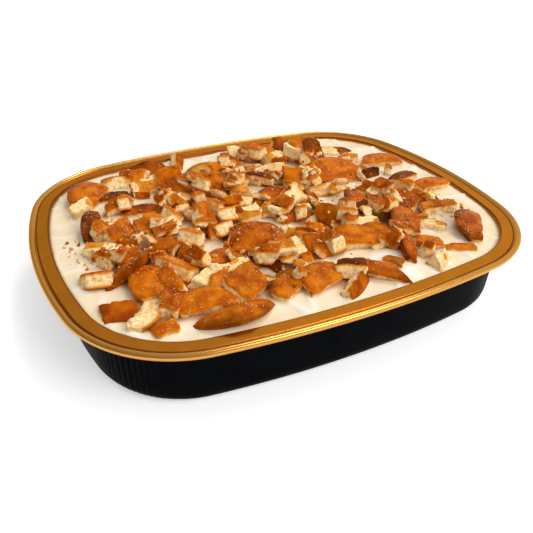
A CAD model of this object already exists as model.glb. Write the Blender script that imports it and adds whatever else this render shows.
"""Looks of a banana pudding in a foil tray: satin gold and black foil, smooth cream and broken wafers.

Units are metres, +Z is up, and the origin is under the middle of the tray.
The long sides run along X, and the side that faces the viewer is at -Y.
Every wafer piece is placed by the same list and the same rule as its solid, and is then given its
crumbling breaks, its crust and its sugar.
"""
import functools
import itertools
import math
import random

import bmesh
import bpy
import numpy as np
from mathutils import Euler, Matrix, Vector
from mathutils.bvhtree import BVHTree


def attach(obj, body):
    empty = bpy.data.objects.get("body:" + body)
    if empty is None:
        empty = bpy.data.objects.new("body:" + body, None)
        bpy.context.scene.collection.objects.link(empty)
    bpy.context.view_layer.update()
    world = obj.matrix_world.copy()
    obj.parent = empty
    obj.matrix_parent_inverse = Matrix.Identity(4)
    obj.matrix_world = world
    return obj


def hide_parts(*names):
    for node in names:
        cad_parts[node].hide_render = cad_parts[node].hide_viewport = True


MM = 0.001

# Camera: the photo's viewpoint, in an image of 533 by 533
IMAGE_SIZE = 533
CAMERA_PLACE = (-0.11237, -0.21914, 0.16268)
CAMERA_AZIMUTH = -24.92
CAMERA_ELEVATION = 33.67
FOCAL_PIXELS = 550.28
SHIFT_PIXELS = (16.8, -0.41)
SENSOR = 36.0

# Tray
HALF_LENGTH = 114.0 * MM
HALF_WIDTH = 91.8 * MM
LONG_SIDE_RADIUS = 504.0 * MM
SHORT_SIDE_RADIUS = 210.0 * MM
CORNER_RADIUS = 53.0 * MM
TRAY_HEIGHT = 34.5 * MM
FLANGE_WIDTH = 9.2 * MM
BEAD_RADIUS = 1.45 * MM
BEAD_RISE = 0.9 * MM
GROOVE_DEPTH = 0.35 * MM
GROOVE_WIDTH = 0.9 * MM
LIP_RADIUS = 0.7 * MM
WALL_DRAFT = 0.6 * MM
FLOOR_FILLET = 6.0 * MM
FOIL = 0.4 * MM
GAP = 0.3 * MM
FINE_STEPS = (80, 110, 50)         # outline points in a quarter, on the long side, corner and short side
PLEAT_SPACING = 2.6 * MM           # the wall's upright pleats
PLEAT_DEPTH = 0.22 * MM
PLEAT_AT_CORNERS = 0.5 * MM
PLEAT_EVENNESS = 0.55
END_SPAN = (0.55, 0.85)            # where the corners begin and are full, as shares of the half length
SIDE_SPAN = (0.5, 0.85)            # the same of the half width
FOOT_PLEATING = 0.4                # how deep the pleats still are under the wall
PLEATING_LOST = 0.75               # how much of them is gone at the rim
FOOT_STEPS = 5
WALL_STEPS = 5
LIP_STEPS = 4
GROOVE_STEPS = 6
FLANGE_SHARES = (0.03, 0.5, 0.97, 1.0)
BEAD_ANGLES = range(160, -116, -19)        # in degrees, from the groove over the top to the underside
CREASED, HALF_CREASED, DRAWN = 0.9, 0.3, -1.0      # how dark the gold is in a bend, or how stretched

# Layers of noise: height, size in millimetres and seed. Heights are in millimetres where they move a mesh.
PLEAT_DRIFT = ((2.2, 14, 5),)
PLEAT_UNEVENNESS = ((0.45, 6, 6),)
STROKES = ((0.16, 7, 21), (0.07, 2.8, 22))
CREAM_GRAIN = ((0.03, 1.3, 24),)
BREAK_LAYERS = ((0.50, 5.0, 40), (0.38, 2.2, 50), (0.28, 0.9, 60))
PIT_LAYERS = ((1.0, 1.1, 70), (0.5, 0.6, 71))
CRUMB_SWELL = ((0.25, 2.2, 72),)
CRUST_LAYERS = ((0.14, 3.0, 73), (0.06, 1.0, 74))
BROWN_PATCHES = ((0.40, 7, 75),)

# Pudding
PUDDING_LEVEL = TRAY_HEIGHT - 2.6 * MM
SWELL = 0.3 * MM
CREAM_STEPS = (60, 60, 40)         # outline points in a quarter, on the long side, corner and short side
CREAM_RING = 1.1 * MM              # spacing of the rings towards the middle
CREAM_CLEARANCE = 0.1              # gap at the wall, as a share of the foil
WAVE_X, WAVE_Y, WAVE_XY = 0.019, 0.023, 0.031
WAVE_PHASE = 0.7
CROSS_WAVE = 0.6                   # height of the slanting wave, as a share of the other one's
CREAM_TOP_SPAN = (-2.5 * MM, -1.5 * MM)    # from the level: where the relief of the top begins and is full
STROKE_STRETCH = (0.35, 1.0, 1.0)          # the strokes run along X
FOLD_SIZE, FOLD_SEED, FOLD_HEIGHT = 11 * MM, 23, 0.55
FOLDS_END_SPAN = (0.66, 0.88)
FOLDS_SIDE_SPAN = (0.6, 0.85)
RIDGE_SPAN = (0.72, 1.0)
WAFER_LIP = 0.7                    # rise of the cream round a wafer, in millimetres
LEAST_WHITE, FOLD_WHITENESS = 0.15, 1.1
WHITE_LUMP_SPAN = (0.3 * MM, 1.6 * MM)
HEAP_BLURS = 8                     # how far the heap's footprint is spread to find its hollows
SOAK_SPAN = (0.52, 0.86)
MOST_SOAKED = 0.85

# Wafer
WAFER_RADIUS = 19.5 * MM
WAFER_THICKNESS = 6.9 * MM
WAFER_EDGE = 2.5 * MM
DOME_POWER = 0.7                   # how round the rim is
OPEN_HEIGHT = 4.4 * MM
FLAKE_THICKNESS = 3.3 * MM
LARGE_AREA = 144.0
LARGE_DETAIL = (16, 6)
SMALL_DETAIL = (8, 4)
FINE_DETAIL = (72, 28)
FINE_VOXEL = 0.62 * MM
COARSE_VOXEL = 0.78 * MM
ROUNDINGS = 3                      # times that a fine form's edges are smoothed
FLAT_SHARE = 0.8                   # how far out the underside is flat
RIM_POWER = 1.5

# Breaks, crumb and crust. Spans say where something begins and is full.
OWN_NOISE_SPAN = 0.3               # metres within which pieces take their own part of the noises
BREAK_REACH = (-3.2 * MM, -0.1 * MM)       # from the break's plane
BREAK_FACE = (-1.0 * MM, -0.3 * MM)
BREAK_INSET = 0.3
NOTCH_DEPTH, NOTCH_SIZE, NOTCH_SEED, NOTCH_SPAN = 0.8, 3.6 * MM, 80, (0.15, 0.75)
RIM_CRUST = 0.8
BARE_SIZE, BARE_SEED, BARE_SPAN, BARE_DEPTH = 6.5 * MM, 76, (-0.25, 0.05), 0.3
CRUMB_SPAN = (0.2, 0.9)            # millimetres under the crust
PIT_SPAN, PIT_DEPTH, PIT_TINT = (0.15, 0.8), 0.40, 0.6
DEPTH_SCALE = 0.5                  # of the stored depth to a millimetre
PALENESS, CRUMB_PALENESS = 0.66, 0.3
PALENESS_SEED, PALENESS_RANGE = 9, (-0.30, 0.25)
RIM_BROWNING, RIM_SPAN = 0.45, (0.78, 1.0)

# Each piece draws the turns and tips of its breaks, in degrees, from a seed of its own
MOST_TURN = 14
MOST_TIP = 16
OPEN_TIP = 9
CORNER_TURN = 15
CORNER_REACH = (0.72, 0.90)        # how far out the broken corner lies, as a share of the half sizes

# How the pieces settle, as in the solids
FIRST_SEED = 1000
FIRST_FILL_SEED = 2000
CELL = 1.5 * MM
SETTLED_SHARE = 0.40
DEEPEST_BITE = 8.0 * MM
HIGHEST_MIDDLE = 7.5 * MM
SINK = 1.3 * MM

LATTICE = 32                       # points along each side of a noise lattice
NOISE_SPAN = (0.3, 0.7)            # between which most of a noise texture's values lie
MIX_SOCKETS = (0, 6, 7)            # where a mix node has its factor and both colours
MIX_RESULT = 2                     # and its resulting colour

CREAM_LUMPS = [
    (24, -60, 15, 6, 1.5),
    (29, -75, 5, 7, 1.6),
    (-86, -63, 9, 6, 1.0),
    (-98, -34, 5, 12, 0.8),
    (-100, 30, 4, 14, 0.7),
    (86, 48, 12, 5, 0.8),
    (98, -36, 5, 12, 0.7),
    (-60, -77, 14, 4, 0.7),
    (60, -76, 12, 4, 0.6),
]

# Broken wafers, from the lowest to the topmost, in millimetres and degrees:
# x, y, yaw, lean, rise, length, width, cut, tone.
# yaw turns the piece's length from +X, lean lifts its +Y side, which on a rim piece is the round edge,
# and rise lifts its +X end.
# cut is rim (keeps the round edge), inner (broken all round), flake (thin) or open (top broken away).
WAFER_PIECES = [
    # small ones between the others
    (-86, 37, 20, 10, 0, 12, 8, "inner", "pale"),
    (-81, 15, -45, 20, 0, 13, 6, "inner", "gold"),
    (-82, 8, 30, 0, 0, 8, 7, "inner", "gold"),
    (-80, -14, 25, 0, 0, 9, 6, "inner", "pale"),
    (-85, -16, -50, 10, 0, 9, 7, "inner", "brown"),
    (-66, -5, 10, 10, 0, 12, 8, "inner", "pale"),
    (-36, -43, 20, 20, 0, 14, 7, "inner", "pale"),
    (-45, -44, -20, 30, 0, 10, 8, "inner", "pale"),
    (-37, 7, -55, 30, 0, 15, 6, "inner", "pale"),
    (-4, -3, 0, 20, 0, 9, 8, "inner", "pale"),
    (2, -6, 40, 10, 0, 9, 7, "inner", "dark"),
    (-34, 4, 10, 60, 0, 9, 9, "rim", "gold"),
    (-30, 23, 70, 50, 0, 10, 8, "rim", "brown"),
    (-8, 51, 10, 30, 0, 10, 8, "inner", "gold"),
    (6, 32, -50, 10, 0, 14, 6, "inner", "pale"),
    (-7, 20, 20, 10, 0, 10, 7, "inner", "pale"),
    (-37, 24, -30, 20, 0, 10, 7, "inner", "pale"),
    (20, -3, 15, 30, 0, 12, 8, "inner", "brown"),
    (11, -26, 60, 60, 0, 10, 8, "inner", "dark"),
    (-2, -28, -30, 50, 0, 11, 8, "inner", "pale"),
    (60, -22, -60, 10, 0, 11, 8, "inner", "brown"),
    (62, -30, 20, 10, 0, 10, 8, "inner", "brown"),
    (71, 36, 0, 10, 0, 11, 8, "inner", "pale"),
    (45, -65, 30, 10, 0, 8, 6, "inner", "brown"),
    (4, 1, 0, 10, 0, 9, 7, "inner", "gold"),
    # the row along the front
    (-76, -66, 10, 0, 0, 11, 9, "flake", "gold"),
    (-69, -55, 60, 12, 0, 15, 10, "inner", "brown"),
    (-78, -56, -122, 12, 0, 23, 11, "open", "pale"),
    (-88, -50, -15, 12, 0, 14.5, 12, "flake", "brown"),
    (-92, -28, -10, -32, 0, 14.5, 10, "inner", "brown"),
    (-49, -73, 181, 30, 0, 36, 13, "rim", "gold"),
    (-56, -59, -10, 22, 0, 22, 13, "rim", "gold"),
    (-23, -62, 36, 24, 0, 20, 12, "rim", "gold"),
    (-8, -63, 8, 22, 0, 19, 14, "rim", "gold"),
    (3, -75, -148, -35, 0, 18, 8.5, "rim", "brown"),
    (5, -66, -30, 0, 0, 13, 7, "inner", "dark"),
    (15, -70, -42, 42, 0, 34, 8, "rim", "brown"),
    (27, -66, -60, 20, 0, 10, 7, "rim", "gold"),
    (46, -75, -150, -40, 0, 13, 10, "rim", "pale"),
    (61, -68, -30, 0, 0, 15, 6, "flake", "gold"),
    # the left side
    (-74, -38, 78, 17, 0, 24, 15, "rim", "gold"),
    (-85, -6, -25, 10, 0, 14, 8, "inner", "pale"),
    (-65, -43, 95, -20, 0, 21, 7, "inner", "gold"),
    (-60, -34, -62, -22, 0, 19, 8, "inner", "gold"),
    (-75, -25, 219, 54, 0, 40, 13, "rim", "brown"),
    (-85, 19, 68, 60, 0, 29, 9, "rim", "dark"),
    (-75, 4, 25, 28, 0, 14, 11, "inner", "gold"),
    (-60, 5, 25, 30, 0, 16, 11, "inner", "gold"),
    (-81, 52, 62, 25, 0, 28, 17, "rim", "gold"),
    (-68, 32, 12, 15, 0, 16, 8, "inner", "gold"),
    (-58, 25, -8, 30, 0, 21, 8, "rim", "brown"),
    (-53, 0, 30, 20, 0, 12, 10, "inner", "pale"),
    # the back
    (-63, 59, -10, 35, 0, 16, 10, "open", "pale"),
    (-67, 47, 0, 30, 0, 17, 7, "rim", "dark"),
    (-53, 62, -30, 30, 0, 14, 10, "inner", "gold"),
    (-42, 70, 5, 60, 0, 22, 9, "rim", "brown"),
    (-24, 71, 65, 40, 20, 17, 7, "inner", "brown"),
    (-11, 62, 187, 160, 0, 29, 9, "rim", "pale"),
    (14, 69, -10, 30, 0, 13, 11, "inner", "pale"),
    (7, 66, 97, 40, 0, 28, 7, "rim", "brown"),
    (25, 64, 5, 40, 0, 19, 10, "inner", "gold"),
    (40, 67, 0, 65, 0, 10, 12, "rim", "brown"),
    (54, 67, 10, 30, 0, 14, 9, "inner", "gold"),
    (66, 53, -20, 10, 0, 18, 10, "open", "pale"),
    (76, 48, -75, 30, 0, 20, 6, "rim", "brown"),
    # the right side
    (89, 28, -27, 15, 0, 23, 13, "rim", "gold"),
    (93, -11, -5, 12, 0, 19, 12, "rim", "gold"),
    (84, 2, 20, 8, 0, 16, 11, "rim", "dark"),
    (81, -25, 0, 30, 0, 8, 7, "rim", "dark"),
    (77, -36, -18, 5, 0, 19, 8, "inner", "gold"),
    (69, -21, -10, 12, 0, 15, 10, "inner", "brown"),
    (78, -55, 53, 28, 0, 30, 14, "rim", "brown"),
    (63, -46, -50, 10, 0, 16, 9, "open", "pale"),
    (52, -58, -35, 15, 0, 13, 9, "rim", "gold"),
    (34, -34, -10, 10, 0, 13, 8, "inner", "pale"),
    (70, 13, 5, 95, 0, 15, 7, "rim", "dark"),
    # the middle
    (-41, -32, 28, 30, 0, 15.5, 9, "rim", "gold"),
    (-46, -13, 5, 10, 0, 14, 8, "inner", "pale"),
    (-56, -16, -10, 25, 0, 18, 9, "inner", "gold"),
    (-51, -29, -60, 45, 0, 14, 9, "inner", "gold"),
    (-51, 47, 10, 30, 0, 15, 9, "inner", "pale"),
    (-27, 42, -20, 30, 0, 13, 10, "inner", "gold"),
    (-3, 33, 0, 20, 0, 14, 8, "inner", "gold"),
    (30, 54, 15, 20, 0, 15, 9, "inner", "pale"),
    (6, 48, 3, 20, 0, 19, 8, "rim", "gold"),
    (12, -3, 10, 30, 0, 13, 9, "inner", "pale"),
    (-13, -3, 0, 20, 0, 14, 10, "inner", "pale"),
    (39, -24, 15, 25, 0, 13, 9, "inner", "dark"),
    (37, 6, 5, -30, 0, 22, 8, "inner", "pale"),
    (20, 29, -15, 10, 0, 14, 9, "rim", "pale"),
    (42, 50, -60, 75, 0, 14, 8, "inner", "pale"),
    (-39, -57, 35, 25, 0, 18, 15, "inner", "gold"),
    (-53, -48, 30, 15, 0, 10, 9, "inner", "pale"),
    (-9, -41, 15, 20, 0, 14, 11, "inner", "pale"),
    (-22, -43, -70, 70, 0, 19, 8, "rim", "dark"),
    (3, -43, -10, 38, 0, 14, 13, "inner", "brown"),
    (21, -43, -22, 24, 0, 22, 15, "rim", "gold"),
    (34, -46, -102, 12, 0, 18, 15, "rim", "gold"),
    (51, -27, 0, 50, 0, 12, 11, "inner", "pale"),
    (52, -40, 55, 32, 0, 21, 15, "rim", "brown"),
    (40, -58, 58, 60, 0, 27, 9, "rim", "brown"),
    (61, -6, -15, 12, 0, 20, 14, "rim", "gold"),
    (28, -20, 0, 50, 0, 10, 9, "inner", "brown"),
    (43, -12, 60, 35, 0, 16, 13, "rim", "gold"),
    (21, -23, -65, 75, 0, 17, 11, "rim", "gold"),
    (-25, -16, 0, 45, 0, 10, 9, "inner", "gold"),
    (-20, -27, -20, 22, 0, 25, 20, "rim", "brown"),
    (-31, -7, 60, 60, 0, 21, 10, "rim", "gold"),
    (-37, 46, -5, 40, 0, 16, 15, "inner", "gold"),
    (-23, 20, -5, 20, 0, 15, 8, "inner", "dark"),
    (-16, 34, -15, 28, 0, 18, 13, "inner", "gold"),
    (-19, 10, 5, 30, 0, 23, 8, "rim", "gold"),
    (7, -13, -3, 50, 0, 18, 8, "rim", "brown"),
    (6, 9, 15, 42, 0, 30, 11, "rim", "brown"),
    (9, 29, -49, 15, 0, 17, 8, "rim", "dark"),
    (26, 20, -20, 40, 0, 14, 12, "inner", "gold"),
    (21, 45, 6, -20, 0, 23, 9, "rim", "pale"),
    (52, 25, -10, 16, 0, 34, 25, "rim", "gold"),
    (50, 44, 10, 70, 0, 14, 17, "rim", "brown"),
    (-42, 24, 100, 52, 0, 40, 12, "rim", "gold"),
]

FILL_COUNT = 26
FILL_CHANCE = 7
FILL_HALF_LENGTH = 88.0 * MM
FILL_HALF_WIDTH = 66.0 * MM
FILL_SHORTEST, FILL_LONGEST = 5.0, 9.0     # in millimetres
FILL_WIDTHS = (0.6, 0.9)                   # as a share of the length
FILL_STRAY = 4                             # millimetres off the even spread
FILL_LEAN = 40
GOLDEN_ANGLE = 137.5

# Loose bits that fill the hollows of the heap
FRAGMENT_COUNT = 150
FRAGMENT_CHANCE = 17
FRAGMENT_SHORTEST, FRAGMENT_LONGEST = 5.0, 11.0    # in millimetres
FRAGMENT_WIDTHS = (0.5, 0.9)
FRAGMENT_LEAN = 60
FRAGMENT_FIELD, FRAGMENT_REACH = 0.80, 0.98        # as shares of the tray and of the heap
FRAGMENT_COVER = 0.52                              # the least wafer round a fragment
LOW_FRAGMENT, HIGH_FRAGMENT, HIGH_FRAGMENT_EVERY = 2.0 * MM, 4.5 * MM, 4
FIRST_FRAGMENT_SEED = 3000
RUBBLE_COUNT = 90
RUBBLE_CHANCE = 13
RUBBLE_FIELD, RUBBLE_REACH = 0.82, 0.95
RUBBLE_BLURS, RUBBLE_COVER = 6, 0.66
HIGHEST_RUBBLE = PUDDING_LEVEL + 2.5 * MM
RUBBLE_DEPTHS = (0.0, 0.0, 0.3, 0.7)
RUBBLE_SHADES = (0.1, 0.6)
RUBBLE_SIZES = (1.4, 2.0, 1.5)     # the least, how much more at most, and the power that favours small ones

# Crumbs and sugar
NO_CRUST = 9.0                     # depth under the crust of what has none
DROP_HEIGHT = 0.2
STEEPEST = 0.3                     # upward part of the normal where a grain still stays
CRUMB_CHANCE = 11
CRUMB_MARGIN = 14 * MM
CRUMB_DEPTHS = (0.0, 0.1, 0.3, 0.6)
CRUMB_SHADES = (0.3, 0.7)
CRUMB_SIZES = (0.5, 1.7, 3)
DRIFT_SIGMA = 0.6
SUGAR_CHANCE = 12
SUGAR_CLUSTERS = 620
SUGAR_REACH = (95, 72)             # in millimetres
SUGAR_DEPTH = 0.2
CLUSTER_COUNTS = (2, 4, 7, 18)
CLUSTER_SPREAD = 3.5
GRAIN_SIZES = (0.26, 0.50)
BODY_STRETCHES = ((0.7, 0.55, 0.45), (1.25, 1.0, 0.85))
BODY_TURNS = ((-0.6, -0.6, 0.0), (0.6, 0.6, 6.3))
BODY_NOISE_SPAN = 20.0
BODY_LIFT = 0.15
LUMP_SIZE, BUMP_SIZE, BUMP_SHARE = 0.9, 0.35, 0.5  # of bodies whose radius is one
DEPTH_SIZE, DEPTH_CHANGE = 0.8, 0.3


# Noise and ramps for arrays of points

@functools.cache
def noise_lattice(seed):
    """A cube of random numbers between -1 and 1."""
    return np.random.RandomState(seed).uniform(-1.0, 1.0, (LATTICE, LATTICE, LATTICE))


def lattice_noise(points, size, seed):
    """Smooth noise between -1 and 1, in lumps of one size, from a seeded lattice that repeats."""
    lattice = noise_lattice(seed)
    where = points / size
    base = np.floor(where).astype(int)
    part = where - base
    part = part * part * (3.0 - 2.0 * part)
    total = np.zeros(len(points))
    for corner in itertools.product((0, 1), repeat=3):
        weight = np.ones(len(points))
        for axis in range(3):
            weight *= part[:, axis] if corner[axis] else 1.0 - part[:, axis]
        index = (base + corner) % LATTICE
        total += weight * lattice[index[:, 0], index[:, 1], index[:, 2]]
    return total


def layered_noise(points, layers, more=0):
    """Noises added up. Each layer has a height, a size in millimetres and a seed, which more is added to."""
    return sum(height * lattice_noise(points, size * MM, seed + more) for height, size, seed in layers)


def ramp(values, low, high):
    """Smooth step from 0 at low to 1 at high."""
    part = np.clip((values - low) / (high - low), 0.0, 1.0)
    return part * part * (3.0 - 2.0 * part)


def vertex_places(mesh):
    """The mesh's vertices as an array."""
    places = np.empty(len(mesh.vertices) * 3)
    mesh.vertices.foreach_get("co", places)
    return places.reshape(-1, 3)


def place_vertices(mesh, places):
    """Write an array back to the mesh's vertices."""
    mesh.vertices.foreach_set("co", np.ascontiguousarray(places, dtype=np.float32).ravel())
    mesh.update()


def vertex_normals(mesh):
    """The mesh's vertex normals as an array."""
    normals = np.empty(len(mesh.vertices) * 3)
    mesh.vertex_normals.foreach_get("vector", normals)
    return normals.reshape(-1, 3)


def set_attribute(mesh, name, values):
    """Store one number for each vertex."""
    layer = mesh.attributes.new(name, "FLOAT", "POINT")
    layer.data.foreach_set("value", np.ascontiguousarray(values, dtype=np.float32))


def linked_object(name, mesh):
    """A new object in the scene."""
    item = bpy.data.objects.new(name, mesh)
    bpy.context.scene.collection.objects.link(item)
    return item


# Node helpers

def new_material(name):
    """A material with its node tree and its Principled shader."""
    material = bpy.data.materials.new(name)
    material.use_nodes = True
    tree = material.node_tree
    return material, tree, tree.nodes["Principled BSDF"]


def link(tree, source, target):
    """Join two sockets."""
    tree.links.new(source, target)


def noise_node(tree, size, detail=3.0, roughness=0.55, distortion=0.0):
    """A noise texture whose lumps have about one size in metres, in the object's own coordinates."""
    coordinates = tree.nodes.new("ShaderNodeTexCoord")
    node = tree.nodes.new("ShaderNodeTexNoise")
    node.inputs["Scale"].default_value = 1.0 / size
    node.inputs["Detail"].default_value = detail
    node.inputs["Roughness"].default_value = roughness
    node.inputs["Distortion"].default_value = distortion
    link(tree, coordinates.outputs["Object"], node.inputs["Vector"])
    return node


def ramp_node(tree, source, stops, interpolation="LINEAR"):
    """A colour ramp: stops are position and colour, a colour of one number being grey."""
    node = tree.nodes.new("ShaderNodeValToRGB")
    node.color_ramp.interpolation = interpolation
    elements = node.color_ramp.elements
    while len(elements) < len(stops):
        elements.new(0.5)
    for element, (position, colour) in zip(elements, stops):
        element.position = position
        tone = colour if isinstance(colour, tuple) else (colour, colour, colour)
        element.color = (*tone, 1.0)
    link(tree, source, node.inputs["Fac"])
    return node.outputs["Color"]


def mix_node(tree, factor, first, second, blend="MIX"):
    """Mix two colours. Each of the three may be a socket or a value."""
    node = tree.nodes.new("ShaderNodeMix")
    node.data_type = "RGBA"
    node.blend_type = blend
    sockets = [node.inputs[place] for place in MIX_SOCKETS]
    for socket, value in zip(sockets, (factor, first, second)):
        if isinstance(value, bpy.types.NodeSocket):
            link(tree, value, socket)
        elif isinstance(value, tuple):
            socket.default_value = (*value, 1.0)
        else:
            socket.default_value = value
    return node.outputs[MIX_RESULT]


def math_node(tree, operation, first, second=0.0, clamp=False):
    """One sum on sockets or numbers."""
    node = tree.nodes.new("ShaderNodeMath")
    node.operation = operation
    node.use_clamp = clamp
    for socket, value in zip(node.inputs, (first, second)):
        if isinstance(value, bpy.types.NodeSocket):
            link(tree, value, socket)
        else:
            socket.default_value = value
    return node.outputs[0]


def attribute_node(tree, name):
    """A number stored on the mesh's vertices."""
    node = tree.nodes.new("ShaderNodeAttribute")
    node.attribute_name = name
    return node.outputs["Fac"]


def bump_node(tree, height, distance, strength=1.0, normal=None):
    """Relief too fine for the mesh."""
    node = tree.nodes.new("ShaderNodeBump")
    node.inputs["Distance"].default_value = distance
    node.inputs["Strength"].default_value = strength
    link(tree, height, node.inputs["Height"])
    if normal is not None:
        link(tree, normal, node.inputs["Normal"])
    return node.outputs["Normal"]


# Materials

GOLD_COLOURS = ((0.48, 0.156, 0.006), (0.55, 0.184, 0.010))
CREASE_COLOUR = (0.12, 0.022, 0.004)
BEAD_COLOUR = (0.60, 0.28, 0.06)
BLACK_COLOURS = ((0.0014, 0.0017, 0.0023), (0.0026, 0.0031, 0.0042))
CREAM_COLOURS = ((0.88, 0.69, 0.42), (0.91, 0.76, 0.52))
WHITE_CREAM = (0.96, 0.88, 0.74)
SOAKED_CREAM = (0.40, 0.13, 0.02)
SPECK_COLOUR = (0.55, 0.28, 0.14)
SUGAR_COLOURS = ((0.92, 0.74, 0.50), (0.98, 0.93, 0.84))
PIT_COLOUR = (0.74, 0.33, 0.06)
TOAST_STOPS = ((0.34, (0.68, 0.23, 0.015)), (0.80, (0.90, 0.50, 0.14)))


def two_tones(tree, noise, tones, span=NOISE_SPAN):
    """Blend of two colours or numbers between two values of a noise."""
    return ramp_node(tree, noise.outputs["Fac"], list(zip(span, tones)))


def grained(tree, shader, size, detail, roughness, height, strength):
    """Roughness between two values and a fine relief, both from one noise."""
    fine = noise_node(tree, size, detail)
    link(tree, two_tones(tree, fine, roughness), shader.inputs["Roughness"])
    link(tree, bump_node(tree, fine.outputs["Fac"], height, strength), shader.inputs["Normal"])


def gold_foil_material():
    """Satin gold lacquer on aluminium, darker in its creases and paler over the drawn bead."""
    material, tree, shader = new_material("gold_foil")
    colour = two_tones(tree, noise_node(tree, 9 * MM), GOLD_COLOURS)
    crease = attribute_node(tree, "crease")
    colour = mix_node(tree, crease, colour, CREASE_COLOUR)
    drawn = math_node(tree, "MULTIPLY", crease, -1.0, clamp=True)
    colour = mix_node(tree, drawn, colour, BEAD_COLOUR)
    link(tree, colour, shader.inputs["Base Color"])
    shader.inputs["Metallic"].default_value = 1.0
    shader.inputs["Specular Tint"].default_value = (1.0, 0.72, 0.40, 1.0)
    shader.inputs["Coat Weight"].default_value = 0.15
    shader.inputs["Coat Roughness"].default_value = 0.08
    grained(tree, shader, 0.8 * MM, 4.0, (0.20, 0.26), 0.02 * MM, 0.06)
    return material


def black_foil_material():
    """Satin black lacquer over pleated foil."""
    material, tree, shader = new_material("black_foil")
    colour = two_tones(tree, noise_node(tree, 12 * MM, 4.0), BLACK_COLOURS, (0.35, 0.7))
    link(tree, colour, shader.inputs["Base Color"])
    shader.inputs["Specular IOR Level"].default_value = 0.04
    shader.inputs["IOR"].default_value = 1.2
    grained(tree, shader, 1.1 * MM, 4.0, (0.30, 0.42), 0.03 * MM, 0.4)
    return material


def cream_material():
    """Thick vanilla cream: ivory, with whiter folds, brown crumb dust under the heap and a few specks."""
    material, tree, shader = new_material("cream")
    colour = two_tones(tree, noise_node(tree, 16 * MM, distortion=0.6), CREAM_COLOURS, (0.35, 0.65))
    colour = mix_node(tree, attribute_node(tree, "whiteness"), colour, WHITE_CREAM)
    colour = mix_node(tree, attribute_node(tree, "soaked"), colour, SOAKED_CREAM)
    speckle = two_tones(tree, noise_node(tree, 3.2 * MM, 2.0), (0.0, 0.35), (0.76, 0.80))
    colour = mix_node(tree, speckle, colour, SPECK_COLOUR)
    link(tree, colour, shader.inputs["Base Color"])
    shader.inputs["Subsurface Weight"].default_value = 0.25
    shader.inputs["Subsurface Radius"].default_value = (1.0, 0.6, 0.35)
    shader.inputs["Subsurface Scale"].default_value = 1.5 * MM
    shader.inputs["Specular IOR Level"].default_value = 0.3
    grained(tree, shader, 1.2 * MM, 3.0, (0.34, 0.48), 0.08 * MM, 0.35)
    return material


CRUST_COLOURS = {
    "gold": ((0.72, 0.195, 0.003), (0.43, 0.078, 0.001)),
    "brown": ((0.58, 0.132, 0.002), (0.28, 0.046, 0.001)),
    "dark": ((0.28, 0.060, 0.004), (0.11, 0.022, 0.002)),
    "pale": ((0.80, 0.34, 0.030), (0.60, 0.18, 0.006)),
}
CRUMB_COLOURS = ((0.99, 0.82, 0.48), (0.92, 0.54, 0.17))


def wafer_material(tone):
    """Baked wafer: a golden crust with fine pores, and a pale open crumb where it has broken."""
    material, tree, shader = new_material("wafer_" + tone)
    light, deep = CRUST_COLOURS[tone]
    crust = two_tones(tree, noise_node(tree, 6 * MM), (light, deep), (0.36, 0.62))
    pores = noise_node(tree, 0.55 * MM, 2.0)
    pore = two_tones(tree, pores, (0.45, 1.0), (0.26, 0.36))
    crust = mix_node(tree, 1.0, crust, pore, "MULTIPLY")
    grain = noise_node(tree, 1.0 * MM, 4.0, 0.6)
    crumb = two_tones(tree, grain, reversed(CRUMB_COLOURS), (0.36, 0.60))
    crumb = mix_node(tree, attribute_node(tree, "pit"), crumb, PIT_COLOUR)
    ragged = math_node(tree, "MULTIPLY_ADD", grain.outputs["Fac"], 0.4)
    ragged.node.inputs[2].default_value = -0.2
    inside = math_node(tree, "ADD", attribute_node(tree, "depth"), ragged)
    baked = ramp_node(tree, inside, [(0.10, light), *TOAST_STOPS])
    toasted = ramp_node(tree, inside, [(0.10, 0.0), (0.22, 1.0)])
    pale = ramp_node(tree, inside, [(0.36, 0.0), (0.95, 1.0)])
    colour = mix_node(tree, toasted, crust, baked)
    colour = mix_node(tree, pale, colour, crumb)
    shade = ramp_node(tree, attribute_node(tree, "shade"), [(0.0, 0.40), (0.6, 1.0)])
    colour = mix_node(tree, 1.0, colour, shade, "MULTIPLY")
    link(tree, colour, shader.inputs["Base Color"])
    roughness = ramp_node(tree, inside, [(0.05, 0.42), (0.4, 0.9)])
    link(tree, roughness, shader.inputs["Roughness"])
    shader.inputs["Specular IOR Level"].default_value = 0.03
    shader.inputs["Subsurface Weight"].default_value = 0.15
    shader.inputs["Subsurface Radius"].default_value = (1.0, 0.6, 0.3)
    shader.inputs["Subsurface Scale"].default_value = 0.9 * MM
    fine = bump_node(tree, pores.outputs["Fac"], 0.08 * MM, 0.5)
    coarse = bump_node(tree, grain.outputs["Fac"], 0.20 * MM, 0.5, fine)
    link(tree, coarse, shader.inputs["Normal"])
    return material


def sugar_material():
    """Clear sugar grains."""
    material, tree, shader = new_material("sugar")
    colour = two_tones(tree, noise_node(tree, 2 * MM, 2.0), SUGAR_COLOURS)
    link(tree, colour, shader.inputs["Base Color"])
    shader.inputs["Roughness"].default_value = 0.12
    shader.inputs["Specular IOR Level"].default_value = 0.8
    return material


# Tray

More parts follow.
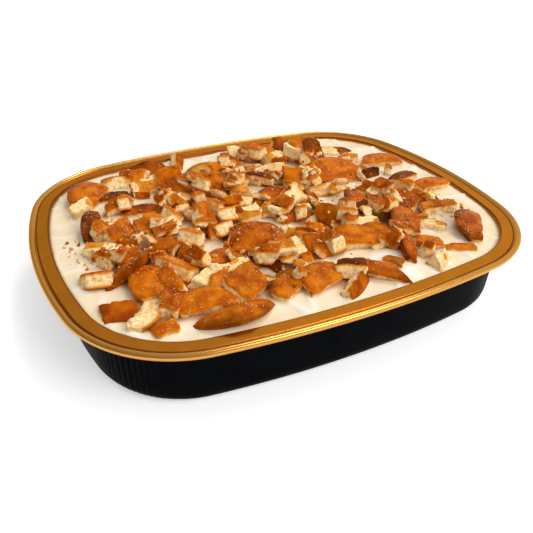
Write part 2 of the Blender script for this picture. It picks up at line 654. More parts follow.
def outline(offset, steps_by_arc):
    """Points of the tray's outline, moved in by offset: three tangent arcs in each quarter."""
    long_steps, corner_steps, short_steps = steps_by_arc
    long_centre = Vector((0.0, HALF_WIDTH - LONG_SIDE_RADIUS))
    short_centre = Vector((HALF_LENGTH - SHORT_SIDE_RADIUS, 0.0))
    to_long = LONG_SIDE_RADIUS - CORNER_RADIUS
    to_short = SHORT_SIDE_RADIUS - CORNER_RADIUS
    between = short_centre - long_centre
    along = (to_long ** 2 - to_short ** 2 + between.length ** 2) / (2 * between.length)
    across = math.sqrt(to_long ** 2 - along ** 2)
    direction = between.normalized()
    corner_centre = long_centre + direction * along + Vector((direction.y, -direction.x)) * across
    join_long = math.atan2(*reversed(corner_centre - long_centre))
    join_short = math.atan2(*reversed(corner_centre - short_centre))
    arcs = [
        (short_centre, SHORT_SIDE_RADIUS, 0.0, join_short, short_steps),
        (corner_centre, CORNER_RADIUS, join_short, join_long, corner_steps),
        (long_centre, LONG_SIDE_RADIUS, join_long, math.pi / 2, long_steps),
    ]
    quarter = []
    for centre, radius, start, end, steps in arcs:
        for step in range(steps):
            angle = start + (end - start) * step / steps
            reach = radius - offset
            quarter.append((centre.x + reach * math.cos(angle), centre.y + reach * math.sin(angle)))
    top = (0.0, HALF_WIDTH - offset)
    left = [(-x, y) for x, y in reversed(quarter[1:])]
    upper = quarter + [top] + left
    return np.array(upper + [(-x, -y) for x, y in upper])


def loft(form, rings):
    """Join rings of equal length by quads, and return the rings of vertices."""
    rows = [[form.verts.new(point) for point in ring] for ring in rings]
    for lower, upper in zip(rows, rows[1:]):
        for index in range(len(lower)):
            following = (index + 1) % len(lower)
            form.faces.new((lower[index], lower[following], upper[following], upper[index]))
    return rows


def quarter_arc(offset, height, radius, steps):
    """Stations of the rounding between a floor and a wall whose foot is at offset."""
    for step in range(steps + 1):
        angle = math.pi / 2 * step / steps
        yield offset + radius * (1 - math.sin(angle)), height + radius * (1 - math.cos(angle))


def bend(corner, toward_first, toward_second, radius, steps):
    """Stations of a rounded corner in the section, from one side to the other."""
    corner, first, second = (Vector(point) for point in (corner, toward_first, toward_second))
    start = corner + (first - corner).normalized() * radius
    end = corner + (second - corner).normalized() * radius
    for step in range(steps + 1):
        part = step / steps
        point = start * (1 - part) ** 2 + corner * 2 * part * (1 - part) + end * part ** 2
        yield tuple(point)


def tray_stations():
    """The foil's upper side from floor to bead: offset, height, pleating and crease."""
    flange_height = TRAY_HEIGHT - BEAD_RISE
    bead_height = TRAY_HEIGHT - BEAD_RADIUS
    wall = FLANGE_WIDTH
    foot_arc = quarter_arc(wall + WALL_DRAFT, FOIL, FLOOR_FILLET, FOOT_STEPS)
    stations = [(offset, height, FOOT_PLEATING, 0.0) for offset, height in foot_arc]
    foot = FOIL + FLOOR_FILLET
    top = flange_height - LIP_RADIUS * 2
    for step in range(1, WALL_STEPS + 1):
        share = step / WALL_STEPS
        pleating = 1.0 - PLEATING_LOST * share ** 3
        stations.append((wall + WALL_DRAFT * (1 - share), foot + (top - foot) * share, pleating, 0.0))
    lip = bend((wall, flange_height), (wall, 0.0), (0.0, flange_height), LIP_RADIUS, LIP_STEPS)
    for number, (offset, height) in enumerate(lip):
        stations.append((offset, height, 0.0, CREASED if 0 < number < LIP_STEPS else HALF_CREASED))
    groove = 2 * BEAD_RADIUS + GROOVE_WIDTH
    for share in FLANGE_SHARES:
        offset = wall - LIP_RADIUS + (groove - wall + LIP_RADIUS) * share
        stations.append((offset, flange_height, 0.0, 0.0))
    for step in range(1, GROOVE_STEPS):
        share = step / GROOVE_STEPS
        sink = math.sin(math.pi * share)
        offset = groove - GROOVE_WIDTH * share
        stations.append((offset, flange_height - GROOVE_DEPTH * sink, 0.0, CREASED * sink))
    for angle in BEAD_ANGLES:
        turn = math.radians(angle)
        offset = BEAD_RADIUS * (1 - math.cos(turn))
        stations.append((offset, bead_height + BEAD_RADIUS * math.sin(turn), 0.0, DRAWN))
    return stations


def pleat_ring(offset, height, pleating, phase):
    """One ring of the foil, its wall pressed in and out by pleats that are deepest at the corners."""
    points = outline(offset, FINE_STEPS)
    tangent = np.roll(points, -1, axis=0) - np.roll(points, 1, axis=0)
    tangent /= np.linalg.norm(tangent, axis=1)[:, None]
    inward = np.stack([-tangent[:, 1], tangent[:, 0]], axis=1)
    toward_end = ramp(np.abs(points[:, 0]) / HALF_LENGTH, *END_SPAN)
    toward_side = ramp(np.abs(points[:, 1]) / HALF_WIDTH, *SIDE_SPAN)
    depth = PLEAT_DEPTH * 0.5 + PLEAT_AT_CORNERS * (toward_end * toward_side)
    shift = pleating * depth * phase
    return [Vector((x, y, height)) for x, y in points + inward * shift[:, None]]


def pleat_phase():
    """How far each point of the outline is pressed in, between 0 and 1, in uneven upright pleats."""
    points = outline(FLANGE_WIDTH, FINE_STEPS)
    run = np.linalg.norm(np.roll(points, -1, axis=0) - points, axis=1).cumsum()
    places = np.stack([run, np.zeros(len(run)), np.zeros(len(run))], axis=1)
    drift = layered_noise(places, PLEAT_DRIFT)
    size = PLEAT_EVENNESS + layered_noise(places, PLEAT_UNEVENNESS)
    return (0.5 + 0.5 * np.sin(run / PLEAT_SPACING * 2 * math.pi + drift)) * size


def make_tray():
    """One foil shell, gold on its upper side and black on its lower."""
    form = bmesh.new()
    phase = pleat_phase()
    stations = tray_stations()
    rings = [pleat_ring(offset, height, pleating, phase) for offset, height, pleating, crease in stations]
    rows = loft(form, rings)
    form.faces.new(reversed(rows[0]))
    mesh = bpy.data.meshes.new("foil_tray")
    form.to_mesh(mesh)
    form.free()
    mesh.shade_smooth()
    set_attribute(mesh, "crease", np.repeat([crease for *place, crease in stations], len(phase)))
    tray = linked_object("foil_tray", mesh)
    mesh.materials.append(black_foil_material())
    mesh.materials.append(gold_foil_material())
    foil = tray.modifiers.new("foil", "SOLIDIFY")
    foil.thickness = FOIL
    foil.offset = 1.0
    foil.material_offset = 1
    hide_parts("tray")
    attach(tray, "root")


# Pudding

def cream_height(x, y):
    """Height of the pudding's surface, with broad waves and the lumps that show at its edges."""
    wave = math.sin(x / WAVE_X + WAVE_PHASE) * math.cos(y / WAVE_Y)
    wave += CROSS_WAVE * math.sin((x + 2 * y) / WAVE_XY)
    lumps = 0.0
    for lump_x, lump_y, reach_x, reach_y, height in CREAM_LUMPS:
        square = ((x / MM - lump_x) / reach_x) ** 2 + ((y / MM - lump_y) / reach_y) ** 2
        lumps += height * MM * math.exp(-square)
    return PUDDING_LEVEL + SWELL * wave / (1 + CROSS_WAVE) + lumps


def cream_relief(points, ground):
    """Spread strokes, low folds near the wall and the lip round each wafer, and how white each is."""
    flat = points.copy()
    flat[:, 2] = 0.0
    drag = layered_noise(flat * np.array(STROKE_STRETCH), STROKES)
    toward_end = ramp(np.abs(points[:, 0]) / HALF_LENGTH, *FOLDS_END_SPAN)
    toward_side = ramp(np.abs(points[:, 1]) / HALF_WIDTH, *FOLDS_SIDE_SPAN)
    ridge = 1.0 - np.abs(lattice_noise(flat, FOLD_SIZE, FOLD_SEED))
    folds = np.clip(toward_end + toward_side, 0, 1) * ramp(ridge, *RIDGE_SPAN) * FOLD_HEIGHT
    fine = layered_noise(flat, CREAM_GRAIN)
    lip = ground.near(points, 1) * WAFER_LIP
    raised = ramp(points[:, 2] - PUDDING_LEVEL, *WHITE_LUMP_SPAN)
    whiteness = np.clip(LEAST_WHITE + folds * FOLD_WHITENESS + drag + raised, 0, 1)
    return (drag + folds + fine + lip) * MM, whiteness


def make_cream(ground):
    """The pudding from wall to wall, closed below, with its top spread in fine strokes."""
    form = bmesh.new()
    wall = FLANGE_WIDTH + FOIL * CREAM_CLEARANCE
    rings = []
    for offset, height in quarter_arc(wall + WALL_DRAFT + GAP, FOIL + GAP, FLOOR_FILLET, FOOT_STEPS):
        rings.append([(x, y, height) for x, y in outline(offset, CREAM_STEPS)])
    edge = outline(wall, CREAM_STEPS)
    count = int(HALF_WIDTH / CREAM_RING)
    for step in range(count):
        scale = 1.0 - step / count
        rings.append([(x, y, cream_height(x, y)) for x, y in edge * scale])
    rows = loft(form, [[Vector(point) for point in ring] for ring in rings])
    form.faces.new(reversed(rows[0]))
    middle = form.verts.new((0.0, 0.0, cream_height(0.0, 0.0)))
    last = rows[-1]
    for index in range(len(last)):
        form.faces.new((last[index], last[(index + 1) % len(last)], middle))
    mesh = bpy.data.meshes.new("cream")
    form.to_mesh(mesh)
    form.free()
    places = vertex_places(mesh)
    relief, whiteness = cream_relief(places, ground)
    places[:, 2] += relief * ramp(places[:, 2] - PUDDING_LEVEL, *CREAM_TOP_SPAN)
    place_vertices(mesh, places)
    set_attribute(mesh, "whiteness", whiteness)
    set_attribute(mesh, "soaked", ramp(ground.near(places, HEAP_BLURS), *SOAK_SPAN) * MOST_SOAKED)
    mesh.shade_smooth()
    mesh.materials.append(cream_material())
    cream = linked_object("cream", mesh)
    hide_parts("pudding")
    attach(cream, "root")
    return cream


# Wafers: the same forms and places as the solids

def dome_height(reach):
    """Height of the wafer's top at a share of its radius."""
    return WAFER_EDGE + (WAFER_THICKNESS - WAFER_EDGE) * (1 - reach ** 3) ** DOME_POWER


def bottom_height(reach):
    """Height of the wafer's underside at a share of its radius: flat, with a rounded rim."""
    return WAFER_EDGE * np.clip((reach - FLAT_SHARE) / (1 - FLAT_SHARE), 0, 1) ** RIM_POWER


@functools.cache
def whole_wafer(segments, rings):
    """A whole wafer, its flat bottom at z = 0, from a sphere pressed into a domed disc."""
    form = bmesh.new()
    bmesh.ops.create_uvsphere(form, u_segments=segments, v_segments=rings, radius=1.0)
    for vertex in form.verts:
        reach = min(1.0, math.hypot(vertex.co.x, vertex.co.y))
        height = dome_height(reach) if vertex.co.z >= 0 else bottom_height(reach)
        vertex.co.x *= WAFER_RADIUS
        vertex.co.y *= WAFER_RADIUS
        vertex.co.z = height
    return form


def wafer_form(segments, rings):
    """A copy of the whole wafer."""
    return whole_wafer(segments, rings).copy()


def break_off(form, point, normal):
    """Cut away what lies beyond a plane and close the cut."""
    geometry = form.verts[:] + form.edges[:] + form.faces[:]
    cut = bmesh.ops.bisect_plane(form, geom=geometry, plane_co=point, plane_no=normal, clear_outer=True)
    edges = [item for item in cut["geom_cut"] if isinstance(item, bmesh.types.BMEdge)]
    if edges:
        bmesh.ops.holes_fill(form, edges=edges, sides=0)


def break_planes(piece, seed):
    """The planes along which a piece broke out of its wafer, each a point and an outward normal."""
    x, y, yaw, lean, rise, length, width, cut, tone = piece
    chance = random.Random(seed)
    keeps_edge = cut in ("rim", "open")
    near_side = WAFER_RADIUS - width * MM if keeps_edge else -width * MM / 2
    sides = [(-90, -near_side), (0, length * MM / 2), (180, length * MM / 2)]
    if not keeps_edge:
        sides.append((90, width * MM / 2))
    planes = []
    for direction, distance in sides:
        most = MOST_TURN * min(1.0, (width / length) if direction in (90, -90) else 1.0)
        turn = math.radians(direction + chance.uniform(-most, most))
        tip = math.radians(chance.uniform(-MOST_TIP, MOST_TIP))
        normal = Vector((math.cos(turn) * math.cos(tip), math.sin(turn) * math.cos(tip), math.sin(tip)))
        middle = Vector((0.0, near_side + width * MM / 2, WAFER_THICKNESS / 2))
        straight = Vector((math.cos(math.radians(direction)), math.sin(math.radians(direction)), 0.0))
        reach = distance - middle.dot(straight)
        planes.append((middle + straight * reach, normal))
    if not keeps_edge:
        corner = math.radians(chance.choice((45, 135, 225, 315)) + chance.uniform(-CORNER_TURN, CORNER_TURN))
        normal = Vector((math.cos(corner), math.sin(corner), 0.0))
        spread = (abs(normal.x) * length + abs(normal.y) * width) * MM / 2
        reach = spread * chance.uniform(*CORNER_REACH)
        planes.append((normal * reach + Vector((0, 0, WAFER_EDGE)), normal))
    if cut == "flake":
        planes.append((Vector((0, 0, WAFER_THICKNESS - FLAKE_THICKNESS)), Vector((0, 0, -1))))
    if cut == "open":
        tip = math.radians(chance.uniform(-OPEN_TIP, OPEN_TIP))
        planes.append((Vector((0, near_side + width * MM / 2, OPEN_HEIGHT)), Vector((math.sin(tip), 0, 1))))
    return planes


def piece_place(piece):
    """The matrix that lays a piece at its place in plan and its tilt, before it settles."""
    x, y, yaw, lean, rise, length, width, cut, tone = piece
    side = WAFER_RADIUS - width * MM / 2 if cut in ("rim", "open") else 0.0
    to_middle = Matrix.Translation((0.0, -side, -WAFER_THICKNESS / 2))
    tilt = Matrix.Rotation(-math.radians(rise), 4, "Y") @ Matrix.Rotation(math.radians(lean), 4, "X")
    turn = Matrix.Rotation(math.radians(yaw), 4, "Z")
    return Matrix.Translation((x * MM, y * MM, 0.0)) @ turn @ tilt @ to_middle


def broken_form(piece, seed, detail):
    """A broken wafer in its own wafer's coordinates."""
    form = wafer_form(*detail)
    for point, normal in break_planes(piece, seed):
        break_off(form, point, normal)
    return form


class Ground:
    """Height of everything laid down so far, on a square grid seen from above."""

    def __init__(self):
        self.xs = np.arange(-HALF_LENGTH, HALF_LENGTH, CELL)
        self.ys = np.arange(-HALF_WIDTH, HALF_WIDTH, CELL)
        self.cream = np.array([[cream_height(x, y) for y in self.ys] for x in self.xs])
        self.top = self.cream.copy()

    def settle(self, form):
        """Lower the form on to the ground and add it there. Returns the shift."""
        tree = BVHTree.FromBMesh(form)
        low = [min(vertex.co[axis] for vertex in form.verts) for axis in (0, 1)]
        high = [max(vertex.co[axis] for vertex in form.verts) for axis in (0, 1)]
        cells = []
        for i in np.flatnonzero((self.xs > low[0]) & (self.xs < high[0])):
            for j in np.flatnonzero((self.ys > low[1]) & (self.ys < high[1])):
                above = tree.ray_cast(Vector((self.xs[i], self.ys[j], 1.0)), Vector((0, 0, -1)))[0]
                if above is None:
                    continue
                below = tree.ray_cast(Vector((self.xs[i], self.ys[j], -1.0)), Vector((0, 0, 1)))[0]
                cells.append((i, j, below.z, above.z))
        clearance = np.array([below - self.top[i, j] for i, j, below, above in cells])
        pressed = np.quantile(clearance, SETTLED_SHARE)
        shift = max(-pressed, -clearance.min() - DEEPEST_BITE) - SINK
        shift = min(shift, PUDDING_LEVEL + HIGHEST_MIDDLE)
        for i, j, below, above in cells:
            self.top[i, j] = max(self.top[i, j], above + shift)
        return shift

    def near(self, points, blurs):
        """How much wafer there is round each point, from 0 to 1, from the heap's blurred footprint."""
        covered = (self.top > self.cream + 0.5 * MM).astype(float)
        for axis in (0, 1) * blurs:
            covered = (np.roll(covered, 1, axis) + covered * 2 + np.roll(covered, -1, axis)) / 4
        i = np.clip(((points[:, 0] + HALF_LENGTH) / CELL).astype(int), 0, len(self.xs) - 2)
        j = np.clip(((points[:, 1] + HALF_WIDTH) / CELL).astype(int), 0, len(self.ys) - 2)
        u = np.clip((points[:, 0] + HALF_LENGTH) / CELL - i, 0, 1)
        v = np.clip((points[:, 1] + HALF_WIDTH) / CELL - j, 0, 1)
        lower = covered[i, j] * (1 - u) + covered[i + 1, j] * u
        upper = covered[i, j + 1] * (1 - u) + covered[i + 1, j + 1] * u
        return lower * (1 - v) + upper * v


def fill_pieces():
    """Small broken bits all over the heap, evenly spread by the golden angle."""
    chance = random.Random(FILL_CHANCE)
    bits = []
    for number in range(FILL_COUNT):
        reach = math.sqrt((number + 0.5) / FILL_COUNT)
        angle = number * math.radians(GOLDEN_ANGLE)
        x = reach * math.cos(angle) * FILL_HALF_LENGTH / MM + chance.uniform(-FILL_STRAY, FILL_STRAY)
        y = reach * math.sin(angle) * FILL_HALF_WIDTH / MM + chance.uniform(-FILL_STRAY, FILL_STRAY)
        length = chance.uniform(FILL_SHORTEST, FILL_LONGEST)
        width = length * chance.uniform(*FILL_WIDTHS)
        tone = chance.choice(("gold", "gold", "pale", "pale", "brown"))
        cut = "flake" if number % 3 else "inner"
        turn = chance.uniform(0, 360)
        lean = chance.uniform(-FILL_LEAN, FILL_LEAN)
        bits.append((x, y, turn, lean, 0, length, width, cut, tone))
    return bits


def remeshed(form, voxel):
    """The form's skin as an even fine mesh with rounded edges."""
    source = bpy.data.meshes.new("source")
    form.to_mesh(source)
    form.free()
    holder = linked_object("holder", source)
    skin = holder.modifiers.new("skin", "REMESH")
    skin.mode = "VOXEL"
    skin.voxel_size = voxel
    skin.use_smooth_shade = True
    rounding = holder.modifiers.new("rounding", "SMOOTH")
    rounding.factor = 0.5
    rounding.iterations = ROUNDINGS
    depsgraph = bpy.context.evaluated_depsgraph_get()
    mesh = bpy.data.meshes.new_from_object(holder.evaluated_get(depsgraph))
    bpy.data.objects.remove(holder, do_unlink=True)
    bpy.data.meshes.remove(source)
    return mesh


def bare_top(own, piece):
    """Where a pale or opened piece has lost its top crust, from 0 to 1."""
    *measures, cut, tone = piece
    if tone == "pale" or cut == "open":
        return ramp(lattice_noise(own, BARE_SIZE, BARE_SEED), *BARE_SPAN)
    return np.zeros(len(own))


def crust_depth(places, reach, bare):
    """How deep under the crust each vertex lies, in millimetres."""
    above_bottom = places[:, 2] - bottom_height(reach)
    from_rim = (1.0 - reach) * WAFER_RADIUS * RIM_CRUST
    opened = np.minimum(above_bottom, from_rim)
    covered = np.minimum(dome_height(reach) - places[:, 2], opened)
    return np.clip(covered * (1 - bare) + opened * bare, 0.0, None) / MM


def break_relief(places, own, planes):
    """How far the breaks' roughness moves each vertex, and which vertices lie on a break."""
    shift = np.zeros_like(places)
    broken = np.zeros(len(places))
    for number, (point, normal) in enumerate(planes):
        normal = np.array(normal.normalized())
        ahead = (places - np.array(point)) @ normal
        broken = np.maximum(broken, ramp(ahead, *BREAK_FACE))
        notches = NOTCH_DEPTH * ramp(lattice_noise(own, NOTCH_SIZE, NOTCH_SEED + number), *NOTCH_SPAN)
        rise = layered_noise(own, BREAK_LAYERS, number) - notches - BREAK_INSET
        shift += normal * (rise * MM * ramp(ahead, *BREAK_REACH))[:, None]
    return shift, broken


def crumble(mesh, piece, seed):
    """Roughen the breaks, pit the crumb and store how deep under the crust each vertex lies."""
    places = vertex_places(mesh)
    normals = vertex_normals(mesh)
    own = places + np.random.RandomState(seed).uniform(0.0, OWN_NOISE_SPAN, 3)
    reach = np.minimum(np.hypot(places[:, 0], places[:, 1]) / WAFER_RADIUS, 1.0)
    bare = bare_top(own, piece)
    depth = crust_depth(places, reach, bare)
    shift, broken = break_relief(places, own, break_planes(piece, seed))
    crumb = np.maximum(broken, bare) * ramp(depth, *CRUMB_SPAN)
    pits = ramp(layered_noise(own, PIT_LAYERS), *PIT_SPAN)
    pitted = layered_noise(own, CRUMB_SWELL) - PIT_DEPTH * pits - BARE_DEPTH * bare
    relief = pitted * crumb + layered_noise(own, CRUST_LAYERS) * (1 - crumb)
    place_vertices(mesh, places + shift + normals * (relief * MM)[:, None])
    set_attribute(mesh, "depth", depth * DEPTH_SCALE)
    set_attribute(mesh, "pit", pits * crumb * PIT_TINT)
    paleness = PALENESS - RIM_BROWNING * ramp(reach, *RIM_SPAN) + layered_noise(own, BROWN_PATCHES)
    paleness += np.random.RandomState(seed + PALENESS_SEED).uniform(*PALENESS_RANGE)
    set_attribute(mesh, "shade", np.clip(paleness + CRUMB_PALENESS * crumb, 0, 1))


def laid_piece(piece, seed, ground, name, materials, settle_detail, voxel):
    """One piece, settled on the ground, with its fine mesh."""
    form = broken_form(piece, seed, settle_detail)
    bmesh.ops.dissolve_limit(form, angle_limit=math.radians(1), verts=form.verts, edges=form.edges)
    place = piece_place(piece)
    form.transform(place)
    shift = ground.settle(form)
    form.free()
    mesh = remeshed(broken_form(piece, seed, FINE_DETAIL), voxel)
    crumble(mesh, piece, seed)
    mesh.transform(Matrix.Translation((0, 0, shift)) @ place)
    *measures, tone = piece
    mesh.materials.clear()
    mesh.materials.append(materials[tone])
    return linked_object(name, mesh)


def fragment_pieces(ground):
    """Loose bits for the hollows between the pieces that are already laid."""
    chance = random.Random(FRAGMENT_CHANCE)
    bits = []
    while len(bits) < FRAGMENT_COUNT:
        x = chance.uniform(-HALF_LENGTH, HALF_LENGTH) * FRAGMENT_FIELD
        y = chance.uniform(-HALF_WIDTH, HALF_WIDTH) * FRAGMENT_FIELD
        around = ground.near(np.array([[x, y, 0.0]]), HEAP_BLURS)[0]
        i, j = int((x + HALF_LENGTH) / CELL), int((y + HALF_WIDTH) / CELL)
        raised = ground.top[i, j] - ground.cream[i, j]
        outside = math.hypot(x / FILL_HALF_LENGTH, y / FILL_HALF_WIDTH) > FRAGMENT_REACH
        most_raised = HIGH_FRAGMENT if len(bits) % HIGH_FRAGMENT_EVERY == 0 else LOW_FRAGMENT
        if outside or around < FRAGMENT_COVER or raised > most_raised:
            continue
        length = chance.uniform(FRAGMENT_SHORTEST, FRAGMENT_LONGEST)
        width = length * chance.uniform(*FRAGMENT_WIDTHS)
        tone = chance.choice(("gold", "gold", "gold", "brown", "brown", "brown", "pale"))
        cut = chance.choice(("inner", "flake", "flake"))
        turn = chance.uniform(0, 360)
        lean = chance.uniform(-FRAGMENT_LEAN, FRAGMENT_LEAN)
        bits.append((x / MM, y / MM, turn, lean, 0, length, width, cut, tone))
    return bits


def make_wafers(ground, materials):
    """Lay every piece. A large one stands for its own solid, the others are joined later."""
    large = []
    small = []
    seeded = [*enumerate(fill_pieces(), FIRST_FILL_SEED), *enumerate(WAFER_PIECES, FIRST_SEED)]
    for seed, piece in seeded:
        *place, length, width, cut, tone = piece
        if length * width < LARGE_AREA:
            name = f"small_wafer_{seed}"
            small.append(laid_piece(piece, seed, ground, name, materials, SMALL_DETAIL, COARSE_VOXEL))
            continue
        number = len(large) + 1
        name = f"broken_wafer_{number:02d}"
        item = laid_piece(piece, seed, ground, name, materials, LARGE_DETAIL, FINE_VOXEL)
        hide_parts(f"wafer_{number:02d}")
        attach(item, "root")
        large.append(item)
    loose = []
    for seed, piece in enumerate(fragment_pieces(ground), FIRST_FRAGMENT_SEED):
        name = f"fragment_{seed}"
        loose.append(laid_piece(piece, seed, ground, name, materials, SMALL_DETAIL, COARSE_VOXEL))
    return large, small, loose


def join_objects(items, name):
    """Join mesh objects into one, which keeps all their materials."""
    with bpy.context.temp_override(active_object=items[0], selected_editable_objects=items):
        bpy.ops.object.join()
    items[0].name = name
    items[0].data.name = name
    return items[0]


# Crumbs and sugar

def joined_tree(items):
    """A search tree of everything that crumbs can lie on, with each face's crust depth."""
    points = []
    faces = []
    depths = []
    start = 0
    for item in items:
        mesh = item.data
        points.extend(vertex_places(mesh).tolist())
        faces.extend([start + index for index in polygon.vertices] for polygon in mesh.polygons)
        if "depth" in mesh.attributes:
            values = mesh.attributes["depth"].data
            depths.extend(values[polygon.vertices[0]].value for polygon in mesh.polygons)
        else:
            depths.extend(itertools.repeat(NO_CRUST, len(mesh.polygons)))
        start = len(points)
    return BVHTree.FromPolygons(points, faces), depths


def dropped(tree, x, y):
    """Where a grain that falls at x, y lands: the place, the normal and the face."""
    return tree.ray_cast(Vector((x, y, DROP_HEIGHT)), Vector((0, 0, -1)))[:3]


def crumb_bodies(spots, seed, name, material, rough, detail):
    """Small lumps at the spots, each a place, a normal, a size, a crust depth and a shade."""
    chance = np.random.RandomState(seed)
    ball = bmesh.new()
    bmesh.ops.create_icosphere(ball, subdivisions=detail, radius=0.5)
    unit = np.array([vertex.co for vertex in ball.verts])
    corners = np.array([[vertex.index for vertex in face.verts] for face in ball.faces])
    ball.free()
    points = []
    faces = []
    depths = []
    shades = []
    for place, normal, size, depth, shade in spots:
        stretch = chance.uniform(*BODY_STRETCHES)
        turn = Euler(chance.uniform(*BODY_TURNS)).to_matrix()
        own = unit * 2.0 + chance.uniform(0.0, BODY_NOISE_SPAN, 3)
        bumps = BUMP_SHARE * lattice_noise(own, BUMP_SIZE, seed + 1)
        lumps = 1.0 + rough * (lattice_noise(own, LUMP_SIZE, seed) + bumps)
        body = (unit * lumps[:, None] * stretch * size) @ np.array(turn).T
        points.append(body + np.array(place + normal * size * BODY_LIFT))
        faces.append(corners + len(unit) * len(faces))
        uneven = DEPTH_CHANGE * lattice_noise(own, DEPTH_SIZE, seed + 2)
        depths.append(np.full(len(unit), depth) + uneven)
        shades.append(np.full(len(unit), shade))
    mesh = bpy.data.meshes.new(name)
    mesh.from_pydata(np.concatenate(points).tolist(), [], np.concatenate(faces).tolist())
    set_attribute(mesh, "depth", np.concatenate(depths))
    set_attribute(mesh, "shade", np.concatenate(shades))
    set_attribute(mesh, "pit", np.zeros(len(mesh.vertices)))
    mesh.shade_smooth()
    mesh.materials.append(material)
    return linked_object(name, mesh)


# Where crumbs are thick: x, y, spread and how many, in millimetres
CRUMB_DRIFTS = [
    (-88, 2, 11, 90),
    (-82, -14, 12, 110),
    (-70, 20, 16, 60),
    (-60, -5, 14, 60),
    (-38, -44, 12, 50),
    (0, -20, 30, 120),
    (20, 30, 35, 120),
    (60, 10, 24, 70),
    (70, -30, 16, 70),
    (-30, 40, 30, 90),
    (0, 0, 60, 160),
]


def grain_size(chance, least, more, power):
    """A size that is more often small than large."""
    return (least + more * chance.random() ** power) * MM


def rubble_spots(tree, ground):
    """Places for coarse bits in the hollows of the heap."""
    chance = random.Random(RUBBLE_CHANCE)
    spots = []
    while len(spots) < RUBBLE_COUNT:
        x = chance.uniform(-HALF_LENGTH, HALF_LENGTH) * RUBBLE_FIELD
        y = chance.uniform(-HALF_WIDTH, HALF_WIDTH) * RUBBLE_FIELD
        covered = ground.near(np.array([[x, y, 0.0]]), RUBBLE_BLURS)[0]
        hit, normal, face = dropped(tree, x, y)
        outside = math.hypot(x / FILL_HALF_LENGTH, y / FILL_HALF_WIDTH) > RUBBLE_REACH
        if outside or covered < RUBBLE_COVER or hit is None or hit.z > HIGHEST_RUBBLE:
            continue
        size = grain_size(chance, *RUBBLE_SIZES)
        spots.append((hit, normal, size, chance.choice(RUBBLE_DEPTHS), chance.uniform(*RUBBLE_SHADES)))
    return spots


def crumb_spots(tree):
    """Places for crumbs: thick in their drifts, thin everywhere else."""
    chance = random.Random(CRUMB_CHANCE)
    spots = []
    for middle_x, middle_y, spread, count in CRUMB_DRIFTS:
        for number in range(count):
            x = chance.gauss(middle_x, spread * DRIFT_SIGMA) * MM
            y = chance.gauss(middle_y, spread * DRIFT_SIGMA) * MM
            if (x / (HALF_LENGTH - CRUMB_MARGIN)) ** 4 + (y / (HALF_WIDTH - CRUMB_MARGIN)) ** 4 > 1:
                continue
            hit, normal, face = dropped(tree, x, y)
            if hit is None or normal.z < STEEPEST:
                continue
            size = grain_size(chance, *CRUMB_SIZES)
            spots.append((hit, normal, size, chance.choice(CRUMB_DEPTHS), chance.uniform(*CRUMB_SHADES)))
    return spots


def sugar_spots(tree, depths):
    """Grains of sugar on the crusts, in clusters."""
    chance = random.Random(SUGAR_CHANCE)
    spots = []
    for cluster in range(SUGAR_CLUSTERS):
        middle_x = chance.uniform(-SUGAR_REACH[0], SUGAR_REACH[0])
        middle_y = chance.uniform(-SUGAR_REACH[1], SUGAR_REACH[1])
        for number in range(chance.choice(CLUSTER_COUNTS)):
            x = chance.gauss(middle_x, CLUSTER_SPREAD) * MM
            y = chance.gauss(middle_y, CLUSTER_SPREAD) * MM
            hit, normal, face = dropped(tree, x, y)
            if hit is None or depths[face] > SUGAR_DEPTH or normal.z < STEEPEST:
                continue
            spots.append((hit, normal, chance.uniform(*GRAIN_SIZES) * MM, 0.0, 0.5))
    return spots


# Studio

FLOOR_SIZE = 6.0
FLOOR_COLOUR = (0.95, 0.95, 0.95, 1.0)
WORLD_STRENGTH, WORLD_SLOPE = 0.62, 0.32
LIGHTS_TARGET = (0, 0, 0.03)
NEAREST_SEEN = 0.01

# Soft boxes: name, place, size, power and colour
SOFT_BOXES = [
    ("key", (0.85, 0.52, 1.85), (0.9, 0.5), 12.0, (1.0, 0.98, 0.95)),
    ("front", (0.9, -1.5, 1.5), (1.3, 0.9), 21.0, (1.0, 1.0, 1.0)),
]


def make_stage():
    """A plain near-white floor."""
    bpy.ops.mesh.primitive_plane_add(size=FLOOR_SIZE, location=(0, 0, 0))
    floor = bpy.context.object
    floor.name = "floor"
    material, tree, shader = new_material("floor")
    shader.inputs["Base Color"].default_value = FLOOR_COLOUR
    shader.inputs["Emission Color"].default_value = (1.0, 1.0, 1.0, 1.0)
    shader.inputs["Emission Strength"].default_value = 0.45
    shader.inputs["Roughness"].default_value = 0.9
    shader.inputs["Specular IOR Level"].default_value = 0.1
    floor.data.materials.append(material)


def area_light(name, place, size, power, colour):
    """A soft box that faces the tray."""
    light = bpy.data.lights.new(name, "AREA")
    light.shape = "RECTANGLE"
    light.size, light.size_y = size
    light.energy = power
    light.color = colour
    item = linked_object(name, light)
    item.location = place
    item.rotation_euler = (Vector(LIGHTS_TARGET) - Vector(place)).to_track_quat("-Z", "Y").to_euler()


def make_lights():
    """Surroundings that are brighter on the right, and the soft boxes."""
    world = bpy.data.worlds.new("studio")
    bpy.context.scene.world = world
    world.use_nodes = True
    tree = world.node_tree
    background = tree.nodes["Background"]
    coordinates = tree.nodes.new("ShaderNodeTexCoord")
    parts = tree.nodes.new("ShaderNodeSeparateXYZ")
    link(tree, coordinates.outputs["Generated"], parts.inputs["Vector"])
    strength = math_node(tree, "MULTIPLY_ADD", parts.outputs["X"], WORLD_SLOPE)
    strength.node.inputs[2].default_value = WORLD_STRENGTH
    link(tree, strength, background.inputs["Strength"])
    background.inputs["Color"].default_value = (1.0, 1.0, 1.0, 1.0)
    for soft_box in SOFT_BOXES:
        area_light(*soft_box)


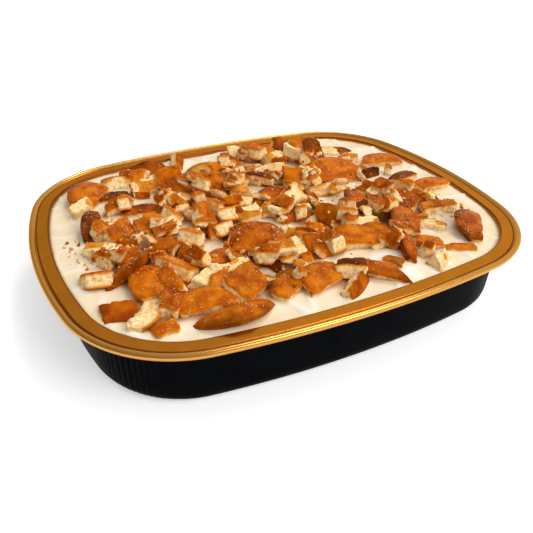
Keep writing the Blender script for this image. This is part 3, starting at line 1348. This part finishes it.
def make_camera():
    """The photo's camera."""
    azimuth = math.radians(CAMERA_AZIMUTH)
    elevation = math.radians(CAMERA_ELEVATION)
    level = math.cos(elevation)
    back = Vector((math.sin(azimuth) * level, -math.cos(azimuth) * level, math.sin(elevation)))
    data = bpy.data.cameras.new("camera")
    data.sensor_width = SENSOR
    data.lens = SENSOR * FOCAL_PIXELS / IMAGE_SIZE
    data.shift_x = SHIFT_PIXELS[0] / IMAGE_SIZE
    data.shift_y = SHIFT_PIXELS[1] / IMAGE_SIZE
    data.clip_start = NEAREST_SEEN
    camera = linked_object("camera", data)
    camera.location = CAMERA_PLACE
    camera.rotation_euler = back.to_track_quat("Z", "Y").to_euler()
    bpy.context.scene.camera = camera


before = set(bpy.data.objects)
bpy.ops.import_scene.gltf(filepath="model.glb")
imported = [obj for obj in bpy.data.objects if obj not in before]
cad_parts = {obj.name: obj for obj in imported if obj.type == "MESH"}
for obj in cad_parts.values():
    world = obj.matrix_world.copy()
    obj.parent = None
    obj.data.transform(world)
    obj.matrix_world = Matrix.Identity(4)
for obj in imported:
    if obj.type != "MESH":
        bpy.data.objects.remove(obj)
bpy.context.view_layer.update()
make_camera()
make_stage()
make_lights()
bpy.context.scene.view_settings.view_transform = "Standard"
make_tray()
ground = Ground()
wafer_materials = {tone: wafer_material(tone) for tone in CRUST_COLOURS}
large_pieces, small_pieces, loose_pieces = make_wafers(ground, wafer_materials)
cream = make_cream(ground)
tree, crust_depths = joined_tree(large_pieces + small_pieces + loose_pieces + [cream])
small_wafers = join_objects(small_pieces, "small_wafers")
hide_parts("pudding")
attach(small_wafers, "root")
fragments = join_objects(loose_pieces, "fragments")
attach(fragments, "root")
rubble = crumb_bodies(rubble_spots(tree, ground), 30, "rubble", wafer_materials["brown"], 0.35, 3)
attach(rubble, "root")
crumbs = crumb_bodies(crumb_spots(tree), 31, "crumbs", wafer_materials["gold"], 0.35, 2)
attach(crumbs, "root")
sugar = crumb_bodies(sugar_spots(tree, crust_depths), 32, "sugar_grains", sugar_material(), 0.1, 1)
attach(sugar, "root")
